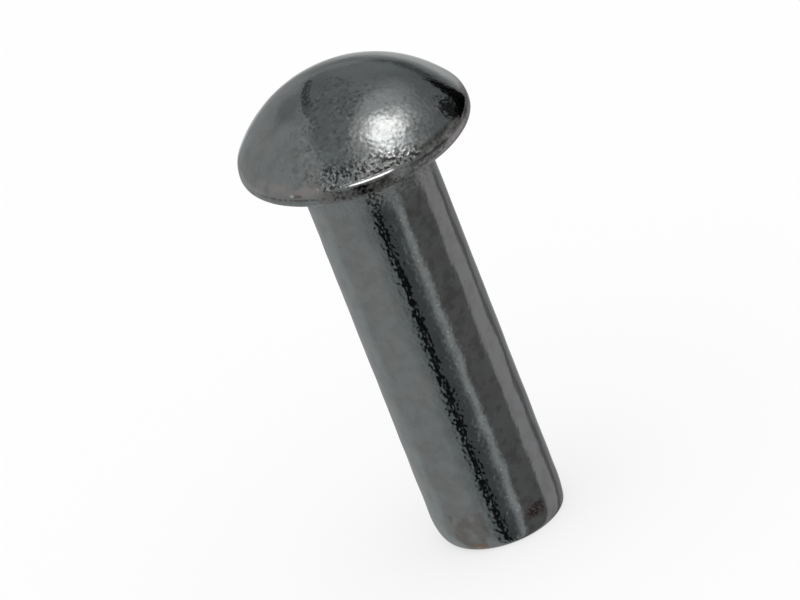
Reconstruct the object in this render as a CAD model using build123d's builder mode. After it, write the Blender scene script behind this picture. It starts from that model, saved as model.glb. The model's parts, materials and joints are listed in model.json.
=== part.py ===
from build123d import *
from math import cos, radians, sin
import os

os.makedirs("parts", exist_ok=True)

# Round head rivet of steel, cold headed in one piece and not yet set.
# It stands on the sheared end of its shank: z = 0 is the end face and +Z points to the head.

# Shank
shank_diameter = 6.0
shank_length = 20.0  # from the sheared end to the seat under the head
underhead_radius = 0.25  # small fillet where the shank runs into the seat

# Head: a round crown above a short rim band, whose lower edge is rounded
head_diameter = 10.7
head_height = 3.6  # from the seat to the top of the crown
rim_height = 0.78  # from the seat to the crease where the crown ends
rim_lean = 0.17  # how far the crease lies inside the widest part of the rim
rim_edge_radius = 0.34

# Sheared end: the shear drags the edge over more on the side where it starts (-X)
roll_over_height = 1.4
roll_over_wide = 0.47  # width of the rounding on the -X side
roll_over_narrow = 0.13  # width of the rounding on the +X side
roll_over_sections = 7  # sections that carry the rounding from the end face up to the full shank

shank_radius = shank_diameter / 2
rim_radius = head_diameter / 2
crown_top = shank_length + head_height
crease = (rim_radius - rim_lean, shank_length + rim_height)
rim_edge_start = (rim_radius - rim_edge_radius, shank_length)
rim_edge_end = (rim_radius, shank_length + rim_edge_radius)
roll_over_mean = (roll_over_wide + roll_over_narrow) / 2
roll_over_shift = (roll_over_wide - roll_over_narrow) / 2


with BuildPart() as rivet:
    # The rounding follows a quarter ellipse on every side. Each section is a circle, which shrinks by
    # the mean width and moves towards +X, so that the rounding comes out wide on -X, narrow on +X.
    for section in range(roll_over_sections):
        angle = radians(90 * section / (roll_over_sections - 1))
        inset = 1 - sin(angle)
        with BuildSketch(Plane.XY.offset(roll_over_height * (1 - cos(angle)))):
            with Locations((roll_over_shift * inset, 0)):
                Circle(shank_radius - roll_over_mean * inset)
    loft()

    with BuildSketch(Plane.XY.offset(roll_over_height)):
        Circle(shank_radius)
    extrude(amount=shank_length - roll_over_height)

    # Half section of the head, from the axis out along the seat, up the rim and back over the crown
    with BuildSketch(Plane.XZ):
        with BuildLine():
            seat = Line((0, shank_length), rim_edge_start)
            rim_edge = TangentArc(seat @ 1, rim_edge_end, tangent=(1, 0))
            rim_band = TangentArc(rim_edge @ 1, crease, tangent=(0, 1))
            crown = TangentArc((0, crown_top), rim_band @ 1, tangent=(1, 0))
            Line(crown @ 0, seat @ 0)
        make_face()
    revolve(axis=Axis.Z)

    # The shank meets the seat in the only circle of the shank's own size at that height
    seat_circles = rivet.edges().filter_by(GeomType.CIRCLE).filter_by_position(
        Axis.Z, shank_length, shank_length
    )
    fillet(seat_circles.sort_by(SortBy.RADIUS)[0], radius=underhead_radius)

rivet.part.label = "rivet"
export_step(rivet.part, "parts/rivet.step")
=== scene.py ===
"""Looks of the round head rivet: its steel body, its finish, the studio round it and the camera.

Lengths are in metres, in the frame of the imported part: the rivet stands on its sheared end at z = 0
and +Z points to its head. A direction is an azimuth and an elevation in degrees: azimuth 0 is the
side that faces the camera (-Y) and azimuth 90 is the viewer's right (+X).
"""

import json
import logging
import math
from dataclasses import dataclass
from enum import Enum
from typing import Any

import bpy
import numpy as np
from mathutils import Matrix, Vector


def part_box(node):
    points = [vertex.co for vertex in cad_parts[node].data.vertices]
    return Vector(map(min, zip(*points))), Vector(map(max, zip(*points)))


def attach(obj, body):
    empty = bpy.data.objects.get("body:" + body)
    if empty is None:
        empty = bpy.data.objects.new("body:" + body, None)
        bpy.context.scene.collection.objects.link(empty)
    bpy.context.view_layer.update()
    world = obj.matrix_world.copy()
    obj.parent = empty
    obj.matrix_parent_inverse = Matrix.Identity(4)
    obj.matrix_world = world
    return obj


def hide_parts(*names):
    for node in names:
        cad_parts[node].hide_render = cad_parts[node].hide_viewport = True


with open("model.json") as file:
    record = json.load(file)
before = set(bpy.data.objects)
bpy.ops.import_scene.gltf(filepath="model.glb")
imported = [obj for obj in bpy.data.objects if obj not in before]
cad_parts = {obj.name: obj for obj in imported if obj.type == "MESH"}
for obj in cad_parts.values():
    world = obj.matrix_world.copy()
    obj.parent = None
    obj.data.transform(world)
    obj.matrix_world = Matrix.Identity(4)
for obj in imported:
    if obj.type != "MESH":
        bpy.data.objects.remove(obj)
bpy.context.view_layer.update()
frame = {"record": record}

log = logging.getLogger("rivet")

Colour = tuple[float, float, float]

BODY = "root"
NODE = "rivet"
MILLIMETRE = 0.001
# How strong each finer layer of a noise pattern is beside the one before
NOISE_FALL = 0.55


def turn_towards(azimuth: float, elevation: float) -> np.ndarray:
    """Gives the unit vector of a direction.

    Args:
        azimuth: degrees round the rivet, 0 towards the camera and 90 towards +X.
        elevation: degrees above the floor.

    Returns:
        The vector (sin a cos e, -cos a cos e, sin e).
    """
    a, e = math.radians(azimuth), math.radians(elevation)
    return np.array([math.sin(a) * math.cos(e), -math.cos(a) * math.cos(e), math.sin(e)])


class Signal:
    """The output of a shader node, which takes part in ordinary arithmetic.

    Each operation on values adds one Math node to the tree that the signal belongs to.
    """

    def __init__(self, tree: "ShaderTree", socket: bpy.types.NodeSocket | None) -> None:
        """Wraps an output socket of a tree, or nothing for a node that has none."""
        self.tree = tree
        self.socket = socket

    def math(self, operation: str, *others: "Signal | float") -> "Signal":
        """Adds a Math node on this signal and the others.

        Args:
            operation: the Math node's operation.
            others: what its further inputs take.

        Returns:
            The node's value.
        """
        values = {index: value for index, value in enumerate((self, *others))}
        return self.tree.add("ShaderNodeMath", {"operation": operation}, values)

    def __add__(self, other: "Signal | float") -> "Signal":
        """Sum."""
        return self.math("ADD", other)

    __radd__ = __add__

    def __sub__(self, other: "Signal | float") -> "Signal":
        """Difference."""
        return self.math("SUBTRACT", other)

    def __rsub__(self, other: float) -> "Signal":
        """A number less this signal."""
        return self * -1.0 + other

    def __mul__(self, other: "Signal | float") -> "Signal":
        """Product."""
        return self.math("MULTIPLY", other)

    __rmul__ = __mul__

    def __abs__(self) -> "Signal":
        """Size without sign."""
        return self.math("ABSOLUTE")

    def between(self, low: float, high: float) -> "Signal":
        """Stretches a share, so that 0 becomes low and 1 becomes high."""
        return self * (high - low) + low


class ShaderTree:
    """A node tree of a material or of the surround, built by calls instead of by hand."""

    def __init__(self, owner: bpy.types.Material | bpy.types.World) -> None:
        """Empties the owner's tree and keeps it."""
        owner.use_nodes = True
        self.tree = owner.node_tree
        self.tree.nodes.clear()

    def add(
        self,
        kind: str,
        settings: dict[str, Any] | None = None,
        values: dict[str | int, Any] | None = None,
        output: str | int = 0,
    ) -> Signal:
        """Adds any node.

        Args:
            kind: the node's type, such as "ShaderNodeBump".
            settings: the node's own settings, set first.
            values: what each input takes, by name or number: a signal is linked, a value is set.
            output: the output that is wanted, by name or number.

        Returns:
            That output.
        """
        node = self.tree.nodes.new(kind)
        for name, value in (settings or {}).items():
            setattr(node, name, value)
        for name, value in (values or {}).items():
            if isinstance(value, Signal):
                self.tree.links.new(value.socket, node.inputs[name])
            else:
                node.inputs[name].default_value = value
        return Signal(self, node.outputs[output] if node.outputs else None)

    def step(self, value: Signal, start: float, end: float) -> Signal:
        """Gives a smooth step of a value.

        Args:
            value: the signal that is stepped.
            start: where the step gives 0.
            end: where it gives 1, which may be below start.

        Returns:
            The step, between 0 and 1.
        """
        settings = {"interpolation_type": "SMOOTHSTEP", "clamp": True}
        bounds = {"Value": value, "From Min": start, "From Max": end}
        return self.add("ShaderNodeMapRange", settings, bounds)

    def blend(self, share: Signal | float, first: Signal | Colour, second: Signal | Colour) -> Signal:
        """Mixes two colours.

        Args:
            share: the share of the second colour, from 0 to 1.
            first: the colour at share 0.
            second: the colour at share 1.

        Returns:
            The mixed colour.
        """
        pair = [c if isinstance(c, Signal) else (*c, 1.0) for c in (first, second)]
        settings = {"data_type": "RGBA", "blend_type": "MIX"}
        return self.add("ShaderNodeMix", settings, {0: share, 6: pair[0], 7: pair[1]}, output=2)

    def noise(self, point: Signal, grain: float, detail: float) -> Signal:
        """Adds a noise pattern.

        Args:
            point: where the noise is read.
            grain: the size of its grains, in metres.
            detail: how many finer layers lie on it.

        Returns:
            The noise, a value about 0.5.
        """
        values = {"Vector": point, "Scale": 1.0 / grain, "Detail": detail, "Roughness": NOISE_FALL}
        return self.add("ShaderNodeTexNoise", {"noise_dimensions": "3D"}, values, "Fac")


@dataclass(frozen=True)
class Unevenness:
    """A repeatable random field of gentle swells in space.

    The field is a sum of plane waves of random direction, length and phase, cos(k . p + phase),
    scaled so that its spread is about 1.
    """

    shortest: float
    longest: float
    waves: int
    seed: int

    def at(self, points: np.ndarray) -> np.ndarray:
        """Gives the field's value at each point.

        Args:
            points: an array whose last axis holds x, y and z.

        Returns:
            An array of the same shape without its last axis.
        """
        draw = np.random.default_rng(self.seed)
        direction = draw.normal(size=(self.waves, 3))
        direction /= np.linalg.norm(direction, axis=1, keepdims=True)
        length = self.shortest * (self.longest / self.shortest) ** draw.random(self.waves)
        phase = draw.random(self.waves) * 2 * math.pi
        wave = direction * (2 * math.pi / length)[:, None]
        return math.sqrt(2 / self.waves) * np.cos(points @ wave.T + phase).sum(axis=-1)


def bend(start: np.ndarray, radius: float, first: float, last: float, count: int) -> np.ndarray:
    """Continues a half section by a round bend.

    A slope is the elevation in degrees of the surface's outward direction: -90 faces down, 0 away
    from the axis and 90 up. On a bend that swells out, a point lies at the centre plus the radius
    times (cos slope, sin slope), and on a hollow one, whose slope falls, at the centre less that.

    Args:
        start: where the bend starts, as distance from the axis and height.
        radius: the bend's radius.
        first: the slope at its start.
        last: the slope at its end.
        count: how many points, both ends included.

    Returns:
        An array of count rows.
    """
    slope = np.radians(np.linspace(first, last, count))
    ray = np.stack([np.cos(slope), np.sin(slope)], axis=1)
    return np.asarray(start) + math.copysign(radius, last - first) * (ray - ray[0])


def line(start: tuple[float, float], end: tuple[float, float], count: int) -> np.ndarray:
    """Gives evenly spaced points from start to end, both included, as rows of distance and height."""
    share = np.linspace(0.0, 1.0, count)[:, None]
    return (1 - share) * np.array(start) + share * np.array(end)


@dataclass(frozen=True)
class Ramp:
    """A soft change of a share from 0 at the start to 1 at the end, which may be below the start."""

    start: float
    end: float

    @classmethod
    def mm(cls, start: float, end: float) -> "Ramp":
        """Makes a ramp from millimetres."""
        return cls(start * MILLIMETRE, end * MILLIMETRE)

    def on(self, value: Signal) -> Signal:
        """Gives the share for a signal."""
        return value.tree.step(value, self.start, self.end)


@dataclass(frozen=True)
class Span:
    """A stretch with soft ends: its share is 1 at the core's distance from its middle and 0 at the reach's.

    With the reach inside the core, it leaves the middle free and covers what lies beyond.
    """

    middle: float
    reach: float
    core: float

    @classmethod
    def mm(cls, middle: float, reach: float, core: float) -> "Span":
        """Makes a span from millimetres."""
        return cls(middle * MILLIMETRE, reach * MILLIMETRE, core * MILLIMETRE)

    def on(self, value: Signal) -> Signal:
        """Gives the share for a signal."""
        return value.tree.step(abs(value - self.middle), self.reach, self.core)


@dataclass(frozen=True)
class Stretch:
    """A stretch whose two ends differ in softness."""

    first: Ramp
    last: Ramp

    def on(self, value: Signal) -> Signal:
        """Gives the share for a signal."""
        return self.first.on(value) * self.last.on(value)


@dataclass(frozen=True)
class Grains:
    """A noise pattern: the size of its grains in millimetres, and how many finer layers lie on it."""

    size: float
    layers: float

    def at(self, point: Signal) -> Signal:
        """Gives the pattern's value at a point, about 0.5."""
        return point.tree.noise(point, self.size * MILLIMETRE, self.layers)


@dataclass(frozen=True)
class Layer:
    """A colour that covers the metal where a noise pattern is high, up to a largest share."""

    colour: Colour
    share: float
    levels: Ramp

    def over(self, under: Signal | Colour, grains: Signal, mask: Signal | float = 1.0) -> Signal:
        """Lays the colour over another.

        Args:
            under: the colour below.
            grains: the noise pattern.
            mask: where the layer may lie, from 0 to 1.

        Returns:
            The mixed colour.
        """
        return grains.tree.blend(mask * self.levels.on(grains) * self.share, under, self.colour)


@dataclass(frozen=True)
class Where:
    """Where a shader point lies on the rivet: in space, round it, and above the seat of the leaning head."""

    point: Signal
    azimuth: Signal
    height: Signal
    above_seat: Signal

    @classmethod
    def on(cls, tree: ShaderTree, rivet: "Rivet") -> "Where":
        """Reads the place from the Object coordinates.

        Args:
            tree: the material's tree.
            rivet: the rivet, for the height of its seat and the lean of its head.

        Returns:
            The place.
        """
        point = tree.add("ShaderNodeTexCoord", output="Object")
        x, y, z = (tree.add("ShaderNodeSeparateXYZ", values={0: point}, output=axis) for axis in "XYZ")
        azimuth = x.math("ARCTAN2", y * -1.0) * math.degrees(1.0)
        return cls(point, azimuth, z, z + x * math.sin(math.radians(rivet.head_lean)) - rivet.seat)


BROWN: Colour = (0.27, 0.20, 0.17)
RUST: Colour = (0.55, 0.33, 0.18)
DARK_RED: Colour = (0.12, 0.05, 0.05)
DENT_SHADE: Colour = (0.26, 0.22, 0.20)
# White of a painted glint
GLINT_WHITE: Colour = (1.0, 0.98, 0.96)
PALE_RUST: Colour = (0.64, 0.58, 0.565)
# Near black: soot on the rim, and the painted shade of the peening's pits
SOOT_AND_SHADE: Colour = (0.05, 0.042, 0.040)
# Bright bare steel; on the lip and on the struck specks it is also a painted glint
BARE_AND_GLINT: Colour = (0.93, 0.94, 0.94)


@dataclass(frozen=True)
class Spot:
    """A stain with soft edges, broken up in grains or, where their size is 0, whole. Two spots are a dent's
    painted shade and painted glint.

    Its azimuth, half width and edge are in degrees round the rivet, and the rest is in millimetres.
    """

    azimuth: float
    half_width: float
    height: float
    half_height: float
    share: float
    colour: Colour
    edge: float = 3.0
    grain: float = 0.6
    layers: float = 3.0
    levels: Ramp = Ramp(0.38, 0.56)
    edge_height: float = 0.04

    def share_at(self, where: Where) -> Signal:
        """Gives how much of the spot lies at each point, thinner where its grains are low."""
        half = self.edge / 2
        across = Span(self.azimuth, self.half_width + half, self.half_width - half).on(where.azimuth)
        soft = self.edge_height * half
        along = Span.mm(self.height, self.half_height + soft, self.half_height - soft).on(where.height)
        if not self.grain:
            return across * along * self.share
        return across * along * self.levels.on(Grains(self.grain, self.layers).at(where.point)) * self.share


SPOTS = (
    Spot(-33, 17, 1.15, 0.95, 0.40, BROWN),
    Spot(-30, 5, 0.30, 0.16, 0.75, RUST, edge=6.0),
    Spot(30, 9, 1.08, 0.30, 0.85, DARK_RED, edge=8.0, grain=0.11),
    # A small dent on the rim's left: its painted shade, then the painted glint on it
    Spot(-38, 2.5, 20.72, 0.07, 0.75, DENT_SHADE, edge=2.0, grain=0.0),
    Spot(-41, 1.0, 20.74, 0.05, 1.0, GLINT_WHITE, edge=1.0, grain=0.0),
)

RIM_FRONT = Span(-4.0, 26.0, 14.0)
SHANK_BELOW_SEAT = Ramp.mm(0.0, -0.3)


@dataclass(frozen=True)
class Peening:
    """Where the metal is peened: at the front of the head, low above its rim, and in a patch beside that.

    The zone's upper edge droops on the right, and its foot comes lower on both sides of the bare lip.
    """

    front: Span = Span(2.0, 34.0, 24.0)
    fraying: Grains = Grains(0.8, 1.0)
    fray: float = 20.0
    height: Ramp = Ramp.mm(1.95, 1.25)
    drooping: Ramp = Ramp(8.0, 28.0)
    droop: float = 0.35 * MILLIMETRE
    foot: Ramp = Ramp.mm(0.86, 0.92)
    beside_lip: Span = Span(1.0, 12.0, 20.0)
    foot_drop: float = 0.14 * MILLIMETRE
    patch: Span = Span(61.0, 11.0, 6.0)
    patch_height: Span = Span.mm(1.36, 0.42, 0.26)
    patch_share: float = 0.6

    def at(self, where: Where) -> Signal:
        """Gives how strongly the metal is peened at each point."""
        low = self.height.on(where.above_seat + self.drooping.on(where.azimuth) * self.droop)
        foot = self.foot.on(where.above_seat + self.beside_lip.on(where.azimuth) * self.foot_drop)
        uneven = (self.fraying.at(where.point) - 0.5) * self.fray
        front = self.front.on(where.azimuth + uneven)
        patch = self.patch.on(where.azimuth) * self.patch_height.on(where.above_seat)
        return low * foot * front + patch * self.patch_share


@dataclass(frozen=True)
class RimDirtAndGlint:
    """The rim's dirt: pale rust on the left, soot and brown at the front, a dark edge over a pale one right.

    The lip in the middle is bare steel, painted bright just where its glint falls: partly wear and partly a
    painted glint.
    """

    fine: Grains = Grains(0.18, 2.0)
    left: Stretch = Stretch(Ramp(-18.0, -32.0), Ramp(-75.0, -55.0))
    rusty_height: Span = Span.mm(0.84, 0.34, 0.12)
    rust: Layer = Layer(PALE_RUST, 0.8, Ramp(0.34, 0.60))
    seam_height: Span = Span.mm(0.46, 0.09, 0.02)
    seam: Layer = Layer((0.20, 0.165, 0.15), 0.7, Ramp(0.40, 0.56))
    right: Stretch = Stretch(Ramp(18.0, 34.0), Ramp(125.0, 75.0))
    pale_height: Stretch = Stretch(Ramp.mm(0.56, 0.44), Ramp.mm(0.0, 0.08))
    pale: Colour = (0.84, 0.785, 0.80)
    pale_share: float = 0.6
    edge_height: Span = Span.mm(0.78, 0.34, 0.16)
    edge_dirt: Layer = Layer((0.20, 0.185, 0.165), 0.75, Ramp(0.30, 0.52))
    edge_soot: Layer = Layer(SOOT_AND_SHADE, 0.5, Ramp(0.50, 0.62))
    band_height: Stretch = Stretch(Ramp.mm(0.76, 0.70), Ramp.mm(0.0, 0.10))
    band_dirt: Layer = Layer((0.27, 0.215, 0.20), 0.52, Ramp(0.30, 0.52))
    band_soot: Layer = Layer(SOOT_AND_SHADE, 0.66, Ramp(0.54, 0.61))
    # Where the lip is painted bright as a glint, round the rim and up it
    lip: Span = Span(1.0, 13.0, 6.0)
    lit_lip_height: Span = Span.mm(0.80, 0.08, 0.05)

    def over(self, colour: Signal, where: Where, blotches: Signal) -> Signal:
        """Lays the dirt and the lip's painted glint over the metal.

        Args:
            colour: the metal's colour.
            where: the place on the rivet.
            blotches: the pattern that the wider stains follow.

        Returns:
            The stained colour.
        """
        fine = self.fine.at(where.point)
        left, right = self.left.on(where.azimuth), self.right.on(where.azimuth)
        colour = self.rust.over(colour, blotches, self.rusty_height.on(where.above_seat) * left)
        colour = self.seam.over(colour, fine, self.seam_height.on(where.above_seat) * left)
        pale = self.pale_height.on(where.above_seat) * right
        colour = fine.tree.blend(pale * self.pale_share, colour, self.pale)
        edge = self.edge_height.on(where.above_seat) * right
        colour = self.edge_dirt.over(colour, blotches, edge)
        colour = self.edge_soot.over(colour, fine, edge)
        band = self.band_height.on(where.above_seat) * RIM_FRONT.on(where.azimuth)
        colour = self.band_dirt.over(colour, blotches, band)
        colour = self.band_soot.over(colour, fine, band)
        # Painted glint: bright bare steel on the lip where the glint falls
        lit = self.lit_lip_height.on(where.above_seat) * self.lip.on(where.azimuth)
        return fine.tree.blend(lit, colour, BARE_AND_GLINT)


@dataclass(frozen=True)
class Mottle:
    """Small darker and lighter marks on the crown, most of them at its front and in patches."""

    crown: Ramp = Ramp.mm(0.85, 1.2)
    front: Span = Span(2.0, 62.0, 30.0)
    patches: Grains = Grains(0.9, 1.0)
    patch_levels: Ramp = Ramp(0.32, 0.62)
    least_patch: float = 0.25
    least_share: float = 0.08
    marks: Grains = Grains(0.20, 1.0)
    dark: Layer = Layer((0.22, 0.23, 0.23), 0.65, Ramp(0.53, 0.66))
    light: Layer = Layer((0.78, 0.80, 0.80), 0.35, Ramp(0.43, 0.32))

    def over(self, colour: Signal, where: Where) -> Signal:
        """Covers a colour with the marks."""
        patchy = self.patch_levels.on(self.patches.at(where.point)).between(self.least_patch, 1.0)
        share = self.crown.on(where.above_seat)
        share = share * (self.front.on(where.azimuth) * patchy).between(self.least_share, 1.0)
        marks = self.marks.at(where.point)
        return self.light.over(self.dark.over(colour, marks, share), marks, share)


@dataclass(frozen=True)
class BareMarks:
    """Bright specks where the metal was struck or scraped, those on the peened front also painted glints,
    and dark specks, with the painted shade of the peening's pits.
    """

    sparks: Grains = Grains(0.13, 0.5)
    struck_levels: Ramp = Ramp(0.57, 0.62)
    struck_share: float = 0.8
    scraped: Span = Span(12.0, 8.0, 4.0)
    scraped_levels: Ramp = Ramp(0.68, 0.74)
    scraped_share: float = 0.5
    specks: Grains = Grains(0.20, 2.0)
    speck_levels: Ramp = Ramp(0.72, 0.78)
    speck_share: float = 0.6
    pits: Grains = Grains(0.15, 0.6)
    pit_levels: Ramp = Ramp(0.51, 0.57)
    pit_share: float = 0.85

    def over(self, colour: Signal, where: Where, peened: Signal) -> Signal:
        """Covers a colour with the specks.

        Args:
            colour: the metal's colour.
            where: the place on the rivet.
            peened: how strongly the metal is peened.

        Returns:
            The speckled colour.
        """
        sparks = self.sparks.at(where.point)
        # Struck specks: bare struck metal, and also painted glints on the peened front
        struck = peened * self.struck_levels.on(sparks) * self.struck_share
        scraped = self.scraped.on(where.azimuth) * SHANK_BELOW_SEAT.on(where.above_seat)
        scraped = scraped * self.scraped_levels.on(sparks) * self.scraped_share
        colour = sparks.tree.blend(struck + scraped, colour, BARE_AND_GLINT)
        specks = self.speck_levels.on(self.specks.at(where.point)) * self.speck_share
        # Painted shade: the peening's pits painted near black
        pits = peened * self.pit_levels.on(self.pits.at(where.point)) * self.pit_share
        return sparks.tree.blend(specks + pits, colour, SOOT_AND_SHADE)


@dataclass(frozen=True)
class Skin:
    """The relief of the metal: a fine grain, the crown's pebbles, and peening. Its heights are in metres."""

    grain: Grains = Grains(0.17, 0.0)
    grain_height: float = 0.0044 * MILLIMETRE
    front_grain_height: float = 0.016 * MILLIMETRE
    coarse: Span = Span(-5.0, 13.0, 7.0)
    head: Ramp = Ramp.mm(0.0, 0.4)
    pebbles: Grains = Grains(0.19, 0.5)
    pebble_height: float = 0.015 * MILLIMETRE
    crown: Ramp = Ramp.mm(0.86, 1.05)
    worked: Span = Span(24.0, 68.0, 35.0)
    worked_height: Ramp = Ramp.mm(3.1, 1.9)
    least: float = 0.15
    patches: Grains = Grains(1.2, 1.0)
    patch_levels: Ramp = Ramp(0.30, 0.60)
    least_patch: float = 0.4
    calm: Ramp = Ramp(20.0, 45.0)
    calm_share: float = 0.5
    peens: Grains = Grains(0.15, 0.0)
    peen_height: float = 0.015 * MILLIMETRE

    def bump(self, where: Where, peened: Signal) -> Signal:
        """Gives the surface's direction under the relief.

        Args:
            where: the place on the rivet.
            peened: how strongly the metal is peened.

        Returns:
            The bumped normal.
        """
        head = self.head.on(where.above_seat)
        crown = self.crown.on(where.above_seat).between(self.least, 1.0)
        coarse = (1.0 - head) * self.coarse.on(where.azimuth)
        grain = self.grain.at(where.point) * coarse.between(self.grain_height, self.front_grain_height)
        worked = self.worked.on(where.azimuth) * self.worked_height.on(where.above_seat)
        patchy = self.patch_levels.on(self.patches.at(where.point)).between(self.least_patch, 1.0)
        strength = (worked * patchy).between(self.least, 1.0)
        strength = strength * self.calm.on(where.azimuth).between(1.0, self.calm_share)
        pebbles = self.pebbles.at(where.point) * self.pebble_height * strength
        peens = self.peens.at(where.point) * self.peen_height * peened
        relief = grain + head * (pebbles * crown + peens)
        values = {"Strength": 1.0, "Distance": 1.0, "Height": relief}
        return relief.tree.add("ShaderNodeBump", values=values)


@dataclass(frozen=True)
class Sheen:
    """How rough the metal is: it wanders between two limits, and the rim's band and the neck are duller."""

    least: float = 0.07
    most: float = 0.14
    wander: Grains = Grains(0.7, 3.0)
    neck: Ramp = Ramp.mm(-2.6, -1.3)
    below_lip: Ramp = Ramp.mm(0.60, 0.48)
    band: Ramp = Ramp.mm(-0.1, 0.0)
    front_share: float = 0.6
    fine: Grains = Grains(0.15, 1.0)
    fine_levels: Ramp = Ramp(0.44, 0.58)
    least_dull: float = 0.06
    most_dull: float = 0.42

    def roughness(self, where: Where) -> Signal:
        """Gives the roughness at each point."""
        usual = self.wander.at(where.point).between(self.least, self.most)
        band = (self.band.on(where.above_seat) * RIM_FRONT.on(where.azimuth)).between(1.0, self.front_share)
        dull = self.neck.on(where.above_seat) * band * self.below_lip.on(where.above_seat)
        fine = self.fine_levels.on(self.fine.at(where.point))
        return usual + dull * fine.between(self.least_dull, self.most_dull)


@dataclass(frozen=True)
class SteelFinish:
    """Plain headed steel: clouded, peened low on the head, stained at its edges, with small marks, and
    painted glints and painted shade on its rim and peened front.
    """

    tone: Colour = (0.486, 0.505, 0.506)
    clouds: Grains = Grains(1.5, 3.0)
    warm: Layer = Layer((0.504, 0.500, 0.484), 0.8, Ramp(0.42, 0.66))
    dull_clouds: Grains = Grains(0.75, 3.0)
    dull: Layer = Layer((0.405, 0.418, 0.416), 0.7, Ramp(0.40, 0.66))
    worn_side: Span = Span(28.0, 18.0, 8.0)
    worn_clouds: Grains = Grains(0.55, 3.0)
    worn: Layer = Layer((0.27, 0.255, 0.25), 0.55, Ramp(0.44, 0.64))
    blotches: Grains = Grains(0.6, 4.0)
    low_stain: Layer = Layer(BROWN, 0.34, Ramp(0.46, 0.62))
    spots: tuple[Spot, ...] = SPOTS
    peening: Peening = Peening()
    rim_dirt_and_glint: RimDirtAndGlint = RimDirtAndGlint()
    mottle: Mottle = Mottle()
    bare_marks: BareMarks = BareMarks()
    skin: Skin = Skin()
    sheen: Sheen = Sheen()

    def material(self, rivet: "Rivet") -> bpy.types.Material:
        """Makes the steel.

        Args:
            rivet: the rivet whose head is peened, and whose rim and sheared end are stained.

        Returns:
            The material.
        """
        material = bpy.data.materials.new("headed_steel")
        tree = ShaderTree(material)
        where = Where.on(tree, rivet)
        peened = self.peening.at(where)
        shader = tree.add(
            "ShaderNodeBsdfPrincipled",
            values={
                "Metallic": 1.0,
                "Base Color": self._colour(where, peened, rivet),
                "Roughness": self.sheen.roughness(where),
                "Normal": self.skin.bump(where, peened),
            },
        )
        tree.add("ShaderNodeOutputMaterial", values={"Surface": shader})
        return material

    def _colour(self, where: Where, peened: Signal, rivet: "Rivet") -> Signal:
        """Mixes the steel's tone with clouds, the stained rim and its painted glint, the stained end, the
        spots with a dent's painted shade and glint, and the small marks with their painted glints and shade.
        """
        point = where.point
        colour = self.warm.over(self.tone, self.clouds.at(point))
        colour = self.dull.over(colour, self.dull_clouds.at(point))
        worn = self.worn_side.on(where.azimuth) * SHANK_BELOW_SEAT.on(where.above_seat)
        colour = self.worn.over(colour, self.worn_clouds.at(point), worn)
        blotches = self.blotches.at(point)
        colour = self.rim_dirt_and_glint.over(colour, where, blotches)
        sheared = Ramp(rivet.roll_over_height, 0.0).on(where.height)
        colour = self.low_stain.over(colour, blotches, sheared)
        for spot in self.spots:
            colour = point.tree.blend(spot.share_at(where), colour, spot.colour)
        return self.bare_marks.over(self.mottle.over(colour, where), where, peened)


@dataclass(frozen=True)
class RimForm:
    """How the crown meets the rim's band: where the band ends, and how round the lip above it is."""

    band_top: float
    band_slope: float
    lip_radius: float
    lip_slope: float


class Rim(Enum):
    """The two forms that the rim has along its way round."""

    SHARP = RimForm(0.74 * MILLIMETRE, 12.0, 0.44 * MILLIMETRE, 33.0)
    ROUND = RimForm(0.55 * MILLIMETRE, 7.0, 0.90 * MILLIMETRE, 32.0)


@dataclass(frozen=True)
class RowCounts:
    """How many rows of points each stretch of the half section has."""

    end_face: int = 24
    roll_over: int = 26
    shank: int = 220
    fillet: int = 10
    seat: int = 14
    rim_edge: int = 14
    band: int = 6
    lip: int = 12
    valley: int = 5
    crown: int = 86


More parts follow.
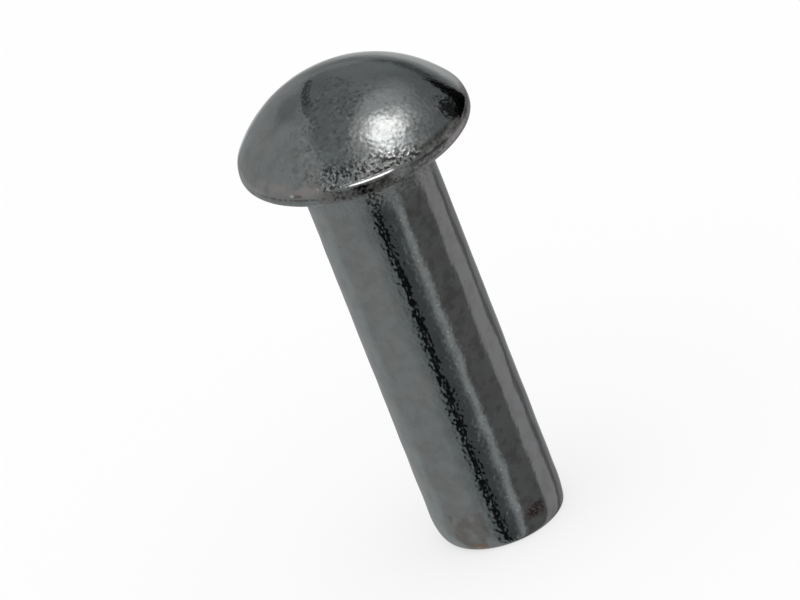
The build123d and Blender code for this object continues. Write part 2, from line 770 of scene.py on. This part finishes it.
@dataclass
class Rivet:
    """The one-piece rivet: sheared end, plain shank, seat, rim and crown.

    Its surface is a stack of circles. Each row of the stack has a radius and a height. The rows of
    the sheared end also slide sideways, because the shear drags the edge over more on one side, and
    those of the head, because it is struck a little off the axis.
    """

    shank_radius: float
    seat: float
    head_radius: float
    top: float
    underhead_radius: float = 0.25 * MILLIMETRE
    rim_edge_radius: float = 0.34 * MILLIMETRE
    sharp_middle: float = -3.0
    sharp_half_width: float = 36.0
    sharp_fade: float = 16.0
    valley_radius: float = 0.20 * MILLIMETRE
    roll_over_height: float = 1.4 * MILLIMETRE
    roll_over_wide: float = 0.47 * MILLIMETRE
    roll_over_narrow: float = 0.13 * MILLIMETRE
    head_lean: float = 1.215
    lean_fade: float = 2.0 * MILLIMETRE
    head_offset: float = 0.045 * MILLIMETRE
    crown_bulge: float = 0.025 * MILLIMETRE
    columns: int = 240
    rows: RowCounts = RowCounts()
    swell: float = 0.011 * MILLIMETRE
    swells: Unevenness = Unevenness(0.8 * MILLIMETRE, 3.0 * MILLIMETRE, waves=40, seed=7)
    swell_limit: float = 2.5
    seat_fade: float = 0.2 * MILLIMETRE
    end_fade: float = 0.5 * MILLIMETRE

    @classmethod
    def from_frame(cls) -> "Rivet":
        """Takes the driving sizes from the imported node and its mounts."""
        mounts = {mount["name"]: mount for mount in frame["record"]["mounts"]}
        low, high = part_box(NODE)
        return cls(
            shank_radius=mounts["shank"]["dims"]["r_mm"] * MILLIMETRE,
            seat=mounts["head_seat"]["pos_m"][2],
            head_radius=(high.x - low.x) / 2,
            top=high.z,
        )

    def sheared_end(self) -> tuple[np.ndarray, np.ndarray]:
        """Gives the end face and the roll-over round it.

        The roll-over is a quarter ellipse on every side: with the angle going from 90 degrees at
        the end face to 0 at the full shank, a circle's radius is the shank's less the mean width
        times (1 - cos), its height is the roll-over's times (1 - sin), and it slides towards +X by
        half the difference of the widths times (1 - cos).

        Returns:
            The rows, and how far each slides.
        """
        mean = (self.roll_over_wide + self.roll_over_narrow) / 2
        slide = (self.roll_over_wide - self.roll_over_narrow) / 2
        angle = np.radians(np.linspace(90.0, 0.0, self.rows.roll_over))
        inset, rise = 1 - np.cos(angle), 1 - np.sin(angle)
        curve = np.stack([self.shank_radius - mean * inset, self.roll_over_height * rise], axis=1)
        face = line((0.0, 0.0), tuple(curve[0]), self.rows.end_face)[1:-1]
        return np.vstack([face, curve]), np.concatenate([np.full(len(face), slide), slide * inset])

    def shank(self) -> np.ndarray:
        """Gives the straight shank, the fillet under the head and the flat seat, as rows."""
        low = (self.shank_radius, self.roll_over_height)
        high = (self.shank_radius, self.seat - self.underhead_radius)
        straight = line(low, high, self.rows.shank)[1:]
        under = bend(straight[-1], self.underhead_radius, 0.0, -90.0, self.rows.fillet)[1:]
        rim = (self.head_radius - self.rim_edge_radius, self.seat)
        seat = line(tuple(under[-1]), rim, self.rows.seat)[1:]
        return np.vstack([straight, under, seat])

    def crown_through(self, point: np.ndarray) -> tuple[float, float]:
        """Gives the radius of the crown's sphere and its slope at a point where it starts.

        With c the point's distance from the axis and h the height that is left above it, the
        radius is (c c + h h) / 2 h, and the slope is the angle whose cosine is c over that.

        Args:
            point: distance from the axis and height.

        Returns:
            The radius, and the slope in degrees.
        """
        reach, left = point[0], self.top - point[1]
        radius = (reach**2 + left**2) / (2 * left)
        return radius, math.degrees(math.acos(reach / radius))

    def head(self, rim: Rim) -> np.ndarray:
        """Gives the rim's rounded lower edge, its band, the lip and the bend above it, and the crown.

        Each is a bend that goes on from the one before it, and the crown is part of a sphere
        through the top of the head.

        Args:
            rim: the rim's form.

        Returns:
            The rows, up to the last one below the top, as many for every form.
        """
        form, rows = rim.value, self.rows
        edge_start = (self.head_radius - self.rim_edge_radius, self.seat)
        lower = bend(edge_start, self.rim_edge_radius, -90.0, 0.0, rows.rim_edge)[1:]
        rise = form.band_top - self.rim_edge_radius
        band_radius = rise / math.sin(math.radians(form.band_slope))
        band = bend(lower[-1], band_radius, 0.0, form.band_slope, rows.band)[1:]
        lip = bend(band[-1], form.lip_radius, form.band_slope, form.lip_slope, rows.lip)[1:]
        _, foot_slope = self.crown_through(lip[-1])
        valley = bend(lip[-1], self.valley_radius, form.lip_slope, foot_slope, rows.valley)[1:]
        crown_radius, foot_slope = self.crown_through(valley[-1])
        sphere = bend(valley[-1], crown_radius, foot_slope, 90.0, rows.crown)
        return np.vstack([lower, band, lip, valley, self._fuller(sphere, foot_slope)[1:-1]])

    def _fuller(self, crown: np.ndarray, foot_slope: float) -> np.ndarray:
        """Swells the crown beyond its sphere by 16 t^2 (1 - t)^2 of the bulge, with t from 0 to 1 up it."""
        share = np.linspace(0.0, 1.0, len(crown))
        slope = np.radians(foot_slope + (90.0 - foot_slope) * share)
        bulge = self.crown_bulge * 16 * (share * (1 - share)) ** 2
        return crown + bulge[:, None] * np.stack([np.cos(slope), np.sin(slope)], axis=1)

    def surface(self) -> tuple[np.ndarray, np.ndarray, np.ndarray]:
        """Carries the rows round the axis, leans the head and lets the skin swell.

        The rim is sharp at the front, over about 40 degrees, and goes over to its round form.

        Returns:
            The points as rows by columns by 3, and the closing point at each end.
        """
        end_rows, slides = self.sheared_end()
        sharp_head, round_head = self.head(Rim.SHARP), self.head(Rim.ROUND)
        rows = np.vstack([end_rows, self.shank(), round_head])
        share = np.clip((rows[:, 1] - self.seat) / self.underhead_radius + 1.0, 0.0, 1.0)
        slide = self.head_offset * share * share * (3 - 2 * share)
        slide[: len(slides)] = slides
        angle = np.linspace(0.0, 2 * math.pi, self.columns, endpoint=False)
        azimuth = np.degrees(np.arctan2(np.cos(angle), -np.sin(angle)))
        aside = abs(azimuth - self.sharp_middle)
        sharp = np.clip((self.sharp_half_width - aside) / self.sharp_fade, 0.0, 1.0)
        section = np.repeat(rows[:, None], self.columns, axis=1)
        section[-len(round_head) :] += sharp[:, None] * (sharp_head - round_head)[:, None]
        grid = np.empty((len(rows), self.columns, 3))
        grid[..., 0] = slide[:, None] + section[..., 0] * np.cos(angle)
        grid[..., 1] = section[..., 0] * np.sin(angle)
        grid[..., 2] = section[..., 1]
        bottom = np.array([slides[0], 0.0, 0.0])
        top = np.array([self.head_offset, 0.0, self.top])
        points = np.vstack([grid.reshape(-1, 3), bottom, top])
        points = self._settled(self._leaned(points))
        return points[:-2].reshape(grid.shape), points[-2], points[-1]

    def _leaned(self, points: np.ndarray) -> np.ndarray:
        """Turns what lies above the seat by the head's lean, about the point on the axis in its plane.

        The lean fades in over the last stretch of the shank, so that nothing kinks.
        """
        share = np.clip((points[:, 2] - self.seat) / self.lean_fade + 1.0, 0.0, 1.0)
        angle = math.radians(self.head_lean) * share * share * (3 - 2 * share)
        x, z = points[:, 0].copy(), points[:, 2] - self.seat
        leaned = points.copy()
        leaned[:, 0] = x * np.cos(angle) + z * np.sin(angle)
        leaned[:, 2] = self.seat + z * np.cos(angle) - x * np.sin(angle)
        return leaned

    def _settled(self, points: np.ndarray) -> np.ndarray:
        """Lets the skin rise and sink by gentle swells.

        On the shank they go both ways. Above the seat they only sink, so that the head stays within
        its packed size, and the end face stays flat on the floor.
        """
        above = np.clip((points[:, 2] - self.seat) / self.seat_fade + 1.0, 0.0, 1.0)
        lift = np.clip(points[:, 2] / self.end_fade, 0.0, 1.0)
        wave = np.clip(self.swells.at(points) / self.swell_limit, -1.0, 1.0)
        depth = self.swell * lift * (wave * (1 - 0.5 * above) + 0.5 * above)
        inwards = -points * np.array([1.0, 1.0, 0.0])
        inwards[:, 2] = np.where(points[:, 2] > self.seat, self.seat - points[:, 2], 0.0)
        reach = np.linalg.norm(inwards, axis=1, keepdims=True)
        return points + inwards / np.maximum(reach, 1e-9) * depth[:, None]

    def build(self) -> bpy.types.Object:
        """Makes the closed mesh of the rivet and puts it in the scene.

        Returns:
            The object, with smooth faces that point outwards.
        """
        grid, bottom, top = self.surface()
        rows, columns = grid.shape[:2]
        index = np.arange(rows * columns).reshape(rows, columns)
        right = np.roll(index, -1, axis=1)
        quads = np.stack([index[:-1], right[:-1], right[1:], index[1:]], axis=-1).reshape(-1, 4)
        low_pole, high_pole = rows * columns, rows * columns + 1
        base = np.stack([right[0], index[0], np.full(columns, low_pole)], axis=-1)
        cap = np.stack([index[-1], right[-1], np.full(columns, high_pole)], axis=-1)
        points = np.vstack([grid.reshape(-1, 3), bottom, top])
        mesh = closed_mesh("headed_rivet", points, [quads, base, cap])
        obj = bpy.data.objects.new("headed_rivet", mesh)
        bpy.context.scene.collection.objects.link(obj)
        return obj

    def dress(self, obj: bpy.types.Object, finish: SteelFinish) -> None:
        """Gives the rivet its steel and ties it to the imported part.

        Args:
            obj: the rivet's object.
            finish: the steel.
        """
        obj.data.materials.append(finish.material(self))
        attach(obj, BODY)
        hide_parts(NODE)


def closed_mesh(name: str, points: np.ndarray, groups: list[np.ndarray]) -> bpy.types.Mesh:
    """Makes a smooth mesh from whole arrays.

    Args:
        name: the mesh's name.
        points: its vertices, one row each.
        groups: arrays of faces, each with one face a row and one number of corners.

    Returns:
        The mesh.
    """
    corners = np.concatenate([group.ravel() for group in groups]).astype(np.int32)
    sizes = np.concatenate([np.full(len(group), group.shape[1]) for group in groups]).astype(np.int32)
    starts = (np.cumsum(sizes) - sizes).astype(np.int32)
    mesh = bpy.data.meshes.new(name)
    mesh.vertices.add(len(points))
    mesh.vertices.foreach_set("co", points.astype(np.float32).ravel())
    mesh.loops.add(len(corners))
    mesh.loops.foreach_set("vertex_index", corners)
    mesh.polygons.add(len(sizes))
    mesh.polygons.foreach_set("loop_start", starts)
    mesh.polygons.foreach_set("use_smooth", np.ones(len(sizes), dtype=bool))
    mesh.update(calc_edges=True)
    mesh.validate()
    return mesh


@dataclass(frozen=True)
class Panel:
    """One soft-edged patch of the surround that the steel mirrors, as wide as the angles say.

    The edge is how wide its sides fade, and its top and bottom too, unless those have a fade.
    """

    azimuth: float
    elevation: float
    half_width: float
    half_height: float
    edge: float
    brightness: float
    tint: Colour = (1.0, 1.0, 1.0)
    slant: float = 0.0
    fade: float = 0.0

    @property
    def colour(self) -> Colour:
        """The patch's light."""
        return tuple(self.brightness * part for part in self.tint)


COOL: Colour = (0.955, 1.0, 1.005)
TEAL: Colour = (0.92, 1.0, 1.02)
PLAIN: Colour = (0.99, 1.0, 0.995)
BLUE: Colour = (0.94, 1.0, 1.028)
LILAC: Colour = (1.03, 1.0, 1.025)

SURROUND = (
    # Upper half, mirrored by the crown, from the ceiling down
    Panel(0, 90, 181, 24, 14, 0.205, BLUE),
    Panel(-85, 68, 62, 6, 9, 0.175, BLUE),
    Panel(165, 50, 22, 34, 10, 0.205, BLUE),
    Panel(-176, 60, 12, 24, 10, 0.19, BLUE),
    Panel(-159, 55, 20, 15, 5, 0.18, BLUE, slant=1.15),
    Panel(-147, 54, 12, 2.6, 5, 0.12, BLUE, slant=0.9),
    Panel(-154, 32, 13, 10, 14, 0.20, BLUE, slant=0.6),
    Panel(-166, 34, 8, 3.6, 5, 0.045, BLUE, slant=1.8),
    Panel(-10, 58, 50, 12, 14, 0.215, TEAL),
    Panel(118, 34, 44, 20, 16, 0.215, BLUE),
    Panel(112, 24, 42, 9, 12, 0.165, BLUE),
    Panel(66, 65, 76, 22, 30, 0.42, PLAIN),
    Panel(64, 63.5, 41, 15, 18, 0.90, PLAIN),
    Panel(64, 63, 27, 10, 14, 1.9),
    Panel(0, 10, 22, 7.5, 4, 1.5),
    Panel(160, 4, 24, 7, 12, 0.19, BLUE),
    Panel(164, -7, 14, 8, 14, 0.50, PLAIN),
    Panel(141, 12.5, 14, 4, 22, 0.02, BLUE, fade=5),
    Panel(150, 13, 18, 2.5, 10, 0.09, BLUE, fade=4),
    Panel(115, 16, 9, 8, 4, 0.02, BLUE),
    # Lower half, mirrored by the shank and the rim's band
    Panel(-135, -49, 25, 41, 20, 0.358, COOL, fade=5),
    Panel(0, -49, 37, 41, 26, 0.205, TEAL, fade=5),
    Panel(2, -49, 20, 41, 20, 0.090, TEAL, fade=5),
    Panel(-10.2, -49, 5.8, 41, 2.5, 0.006, TEAL, fade=5),
    Panel(29, -49, 4.5, 41, 23, 0.42, COOL, fade=5),
    Panel(61, -49, 25, 41, 7, 0.129, PLAIN, fade=5),
    Panel(105, -49, 19, 41, 10, 0.312, LILAC, fade=5),
    Panel(132, -51, 9, 39, 6, 0.13, PLAIN, fade=5),
    Panel(147, -51, 10, 39, 6, 0.23, PLAIN, fade=5),
    Panel(-176, -45, 18, 23, 16, 0.34, fade=14),
    Panel(-179, -17, 12, 5, 8, 0.6),
    Panel(-163, -8, 9, 5, 9, 0.31, BLUE),
    Panel(126, 1, 16, 11, 3, 0.0),
    Panel(137, 11, 5.5, 5, 2.5, 0.0, slant=0.3),
)


@dataclass(frozen=True)
class Surround:
    """What stands round the rivet: patches of light and dark for the steel, a pale wall for the camera."""

    panels: tuple[Panel, ...] = SURROUND
    base: Colour = (0.293, 0.30, 0.30)
    wall: Colour = (0.93, 0.93, 0.93)

    def build(self) -> None:
        """Makes the surround as the scene's world.

        Each patch is a smooth window in azimuth times one in elevation, painted over those before
        it. The azimuth is measured from the patch's own middle, so no window meets the seam.
        """
        world = bpy.data.worlds.new("surround")
        bpy.context.scene.world = world
        tree = ShaderTree(world)
        direction = tree.add("ShaderNodeTexCoord", output="Generated")
        x = tree.add("ShaderNodeSeparateXYZ", values={0: direction}, output="X")
        y = Signal(tree, x.socket.node.outputs["Y"])
        z = Signal(tree, x.socket.node.outputs["Z"])
        elevation = z.math("ARCSINE") * math.degrees(1.0)
        light: Signal | Colour = self.base
        for panel in self.panels:
            light = tree.blend(self._window(tree, panel, x, y, elevation), light, panel.colour)
        lit = tree.add("ShaderNodeBackground", values={"Color": light})
        wall = tree.add("ShaderNodeBackground", values={"Color": (*self.wall, 1.0)})
        mirrored = tree.add("ShaderNodeLightPath", output="Is Glossy Ray")
        shown = tree.add("ShaderNodeMixShader", values={0: mirrored, 1: wall, 2: lit})
        tree.add("ShaderNodeOutputWorld", values={"Surface": shown})

    @staticmethod
    def _window(tree: ShaderTree, panel: Panel, x: Signal, y: Signal, elevation: Signal) -> Signal:
        """Gives how much of a patch lies in each direction, from 0 to 1."""
        sine, cosine = math.sin(math.radians(panel.azimuth)), math.cos(math.radians(panel.azimuth))
        beside = x * cosine + y * sine
        ahead = x * sine - y * cosine
        turn = beside.math("ARCTAN2", ahead) * math.degrees(1.0)
        height = elevation - panel.elevation
        if panel.slant:
            height = height - turn * panel.slant
        half = panel.edge / 2
        across = tree.step(abs(turn), panel.half_width + half, panel.half_width - half)
        half = (panel.fade or panel.edge) / 2
        along = tree.step(abs(height), panel.half_height + half, panel.half_height - half)
        return across * along


@dataclass(frozen=True)
class SoftLamp:
    """A round soft lamp that faces the rivet and lights the floor. The steel doesn't mirror it."""

    name: str
    azimuth: float
    elevation: float
    distance: float
    size: float
    power: float

    def build(self, target: np.ndarray) -> None:
        """Puts the lamp in the scene.

        Args:
            target: the point that the lamp faces.
        """
        light = bpy.data.lights.new(self.name, "AREA")
        light.shape = "DISK"
        light.size = self.size
        light.energy = self.power
        obj = bpy.data.objects.new(self.name, light)
        outwards = turn_towards(self.azimuth, self.elevation)
        obj.location = target + outwards * self.distance
        obj.rotation_euler = Vector(outwards).to_track_quat("Z", "Y").to_euler()
        obj.visible_glossy = False
        obj.visible_camera = False
        bpy.context.scene.collection.objects.link(obj)


@dataclass(frozen=True)
class Floor:
    """A plain pale floor, wide enough for every view, which glows a little so that shadows stay faint."""

    half_side: float = 3.0
    paint: Colour = (0.30, 0.30, 0.30)
    glow: float = 0.64
    sink: float = 0.01 * MILLIMETRE

    def build(self) -> None:
        """Makes the floor. The steel mirrors the surround and not the floor."""
        side = self.half_side
        corners = np.array([[-side, -side, 0], [side, -side, 0], [side, side, 0], [-side, side, 0]], float)
        corners[:, 2] = -self.sink
        mesh = closed_mesh("floor", corners, [np.array([[0, 1, 2, 3]])])
        floor = bpy.data.objects.new("floor", mesh)
        bpy.context.scene.collection.objects.link(floor)
        material = bpy.data.materials.new("pale_floor")
        tree = ShaderTree(material)
        paint = tree.add("ShaderNodeBsdfDiffuse", values={"Color": (*self.paint, 1.0)})
        glow = tree.add("ShaderNodeEmission", values={"Strength": self.glow})
        both = tree.add("ShaderNodeAddShader", values={0: paint, 1: glow})
        tree.add("ShaderNodeOutputMaterial", values={"Surface": both})
        floor.data.materials.append(material)
        floor.visible_glossy = False


@dataclass(frozen=True)
class PhotoCamera:
    """The photograph's camera: it looks along +Y and down, and leans over to one side.

    The centre of the head's seat shows at a measured pixel, and a length at that distance shows at
    a measured scale, which gives the camera's place and its lens.
    """

    elevation: float = 27.45
    roll: float = 21.5305
    distance: float = 0.600
    seat_column: float = 355.79
    seat_row: float = 143.63
    pixels_per_mm: float = 22.73
    image_width: int = 800
    image_height: int = 600
    sensor: float = 36.0
    nearest: float = 0.01
    farthest: float = 20.0

    def build(self, seat: float) -> None:
        """Makes the scene's camera.

        Args:
            seat: the height of the head's seat, on the axis.
        """
        e, r = math.radians(self.elevation), math.radians(self.roll)
        forward = Vector((0.0, math.cos(e), -math.sin(e)))
        level_up = Vector((0.0, math.sin(e), math.cos(e)))
        level_right = Vector((1.0, 0.0, 0.0))
        right = level_right * math.cos(r) + level_up * math.sin(r) * -1.0
        up = level_right * math.sin(r) + level_up * math.cos(r)
        per_metre = self.pixels_per_mm / MILLIMETRE
        aside = (self.seat_column - self.image_width / 2) / per_metre
        below = (self.seat_row - self.image_height / 2) / per_metre
        place = Vector((0.0, 0.0, seat)) - right * aside + up * below - forward * self.distance
        data = bpy.data.cameras.new("photo_camera")
        data.sensor_width = self.sensor
        data.lens = self.sensor * per_metre * self.distance / self.image_width
        data.clip_start, data.clip_end = self.nearest, self.farthest
        camera = bpy.data.objects.new("photo_camera", data)
        turned = Matrix((right, up, -forward)).transposed().to_4x4()
        camera.matrix_world = Matrix.Translation(place) @ turned
        bpy.context.scene.collection.objects.link(camera)
        bpy.context.scene.camera = camera


LAMPS = (
    SoftLamp("overhead", azimuth=20, elevation=80, distance=0.9, size=1.2, power=3.0),
)


def main() -> None:
    """Builds the rivet, then the studio and the camera, and logs the rivet, the surround and the lamps."""
    logging.basicConfig(level=logging.INFO, format="%(name)s: %(message)s")
    rivet = Rivet.from_frame()
    piece = rivet.build()
    rivet.dress(piece, SteelFinish())
    log.info("rivet: %d faces, %.1f mm tall", len(piece.data.polygons), rivet.top / MILLIMETRE)
    Surround().build()
    log.info("surround: %d patches", len(SURROUND))
    Floor().build()
    middle = np.array([0.0, 0.0, rivet.seat / 2])
    for lamp in LAMPS:
        lamp.build(middle)
        log.info("lamp %s", lamp.name)
    PhotoCamera().build(rivet.seat)
    bpy.context.scene.view_settings.view_transform = "Standard"


if __name__ == "__main__":
    main()
